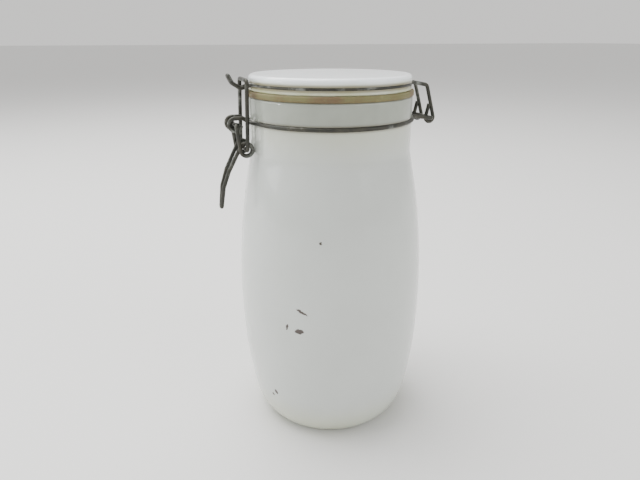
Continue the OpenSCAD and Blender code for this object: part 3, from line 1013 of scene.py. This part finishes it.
class CANISTER_OT_lever(bpy.types.Operator):
    """Bend the lever with its coiled eyes and handle"""
    bl_idname = "canister.lever"
    bl_label = "Lever"

    def execute(self, context):
        w = context.scene.canister_wires
        wire = wire_piece(lever_route(w), w.wire_r)
        paint(wire, bpy.data.materials["dulled_steel_wire"])
        finish_piece(wire, "lever_bent", "lever", "steel_wire", "lever_wire")
        return {"FINISHED"}


class CANISTER_OT_stage(bpy.types.Operator):
    """Set up the floor, the soft studio light and the camera"""
    bl_idname = "canister.stage"
    bl_label = "Stage"

    def execute(self, context):
        deselect()
        bpy.ops.mesh.primitive_plane_add(size=40.0, location=(0, 0, -0.02 * MM))
        floor = context.object
        floor.name = "pale_floor"
        paint(floor, floor_material(context.scene.canister_finishes))
        soft_lights()
        place_camera()
        deselect()
        return {"FINISHED"}


CAMERA_AZIMUTH = math.radians(70)
CAMERA_PITCH = math.radians(21.28)
CAMERA_DISTANCE = 0.3237
CAMERA_HEIGHT = 0.2463
CAMERA_LENS = 29.25
CAMERA_SENSOR = 36.0
CAMERA_SHIFT = -0.016
CAMERA_CLIP_START = 0.01


def around(azimuth_off, distance, height):
    """A point round the axis: its angle in degrees from the camera, positive to the camera's right."""
    a = CAMERA_AZIMUTH + math.radians(azimuth_off)
    return Vector((math.sin(a) * distance, -math.cos(a) * distance, height))


def soft_box(name, place, aim, size, power, tint=(1.0, 1.0, 1.0)):
    """A rectangular soft light that points at a place."""
    bpy.ops.object.light_add(type="AREA", location=place)
    lamp = bpy.context.object
    lamp.name = name
    lamp.data.shape = "RECTANGLE"
    lamp.data.size, lamp.data.size_y = size
    lamp.data.energy = power
    lamp.data.color = tint
    lamp.rotation_euler = (Vector(aim) - Vector(place)).to_track_quat("-Z", "Y").to_euler()


def soft_lights():
    """A broad overhead light, a small window and a soft light at the left, a weak one at the right."""
    middle = (0, 0, 0.12)
    soft_box("overhead", around(-130, 0.55, 1.5), middle, (1.5, 1.5), 47.0, (1.0, 0.99, 0.97))
    soft_box("window", around(-70, 1.2, 0.34), (0, 0, 0.17), (0.05, 0.14), 1.3, (0.97, 0.99, 1.0))
    soft_box("side", around(-88, 1.5, 0.7), middle, (0.9, 1.1), 8.5, (0.98, 0.99, 1.0))
    soft_box("fill", around(60, 1.6, 0.8), middle, (1.2, 1.0), 8.0)
    world = bpy.data.worlds.new("soft_room")
    bpy.context.scene.world = world
    world.use_nodes = True
    background = world.node_tree.nodes["Background"]
    background.inputs["Color"].default_value = (0.93, 0.92, 0.90, 1.0)
    background.inputs["Strength"].default_value = 1.0


def place_camera():
    """The camera at its viewing angle, slightly above the canister and looking down."""
    place = around(0, CAMERA_DISTANCE, CAMERA_HEIGHT)
    turn = (math.pi / 2 - CAMERA_PITCH, 0, CAMERA_AZIMUTH)
    bpy.ops.object.camera_add(location=place, rotation=turn)
    camera = bpy.context.object
    camera.data.sensor_width = CAMERA_SENSOR
    camera.data.lens = CAMERA_LENS
    camera.data.shift_x = CAMERA_SHIFT
    camera.data.clip_start = CAMERA_CLIP_START
    bpy.context.scene.camera = camera


class CANISTER_PT_panel(bpy.types.Panel):
    """Buttons and sizes of the canister"""
    bl_idname = "CANISTER_PT_panel"
    bl_label = "Opal Glass Canister"
    bl_space_type = "VIEW_3D"
    bl_region_type = "UI"
    bl_category = "Canister"

    def draw(self, context):
        for step in STEPS:
            self.layout.operator(step.bl_idname)
        for name in PROPERTIES:
            group = getattr(context.scene, name)
            box = self.layout.box()
            for key in group.__annotations__:
                box.prop(group, key)


STEPS = (
    CANISTER_OT_shared_groups,
    CANISTER_OT_glass_jar,
    CANISTER_OT_glass_lid,
    CANISTER_OT_rubber_ring,
    CANISTER_OT_neck_wire,
    CANISTER_OT_lid_wire,
    CANISTER_OT_link,
    CANISTER_OT_lever,
    CANISTER_OT_stage,
)
PROPERTIES = {
    "canister_jar": CanisterJarSizes,
    "canister_lid": CanisterLidSizes,
    "canister_wires": CanisterWireSizes,
    "canister_finishes": CanisterFinishes,
}


def register():
    """Registers the property groups, the operators and the panel."""
    for name, group in PROPERTIES.items():
        bpy.utils.register_class(group)
        setattr(bpy.types.Scene, name, PointerProperty(type=group))
    for step in STEPS:
        bpy.utils.register_class(step)
    bpy.utils.register_class(CANISTER_PT_panel)


def unregister():
    """Takes out what register put in, in the opposite order."""
    bpy.utils.unregister_class(CANISTER_PT_panel)
    for step in reversed(STEPS):
        bpy.utils.unregister_class(step)
    for name, group in reversed(PROPERTIES.items()):
        delattr(bpy.types.Scene, name)
        bpy.utils.unregister_class(group)


def main():
    """Builds the canister step by step."""
    register()
    bpy.ops.canister.shared_groups()
    bpy.ops.canister.glass_jar()
    bpy.ops.canister.glass_lid()
    bpy.ops.canister.rubber_ring()
    bpy.ops.canister.neck_wire()
    bpy.ops.canister.lid_wire()
    bpy.ops.canister.link()
    bpy.ops.canister.lever()
    bpy.ops.canister.stage()


if __name__ == "__main__":
    main()
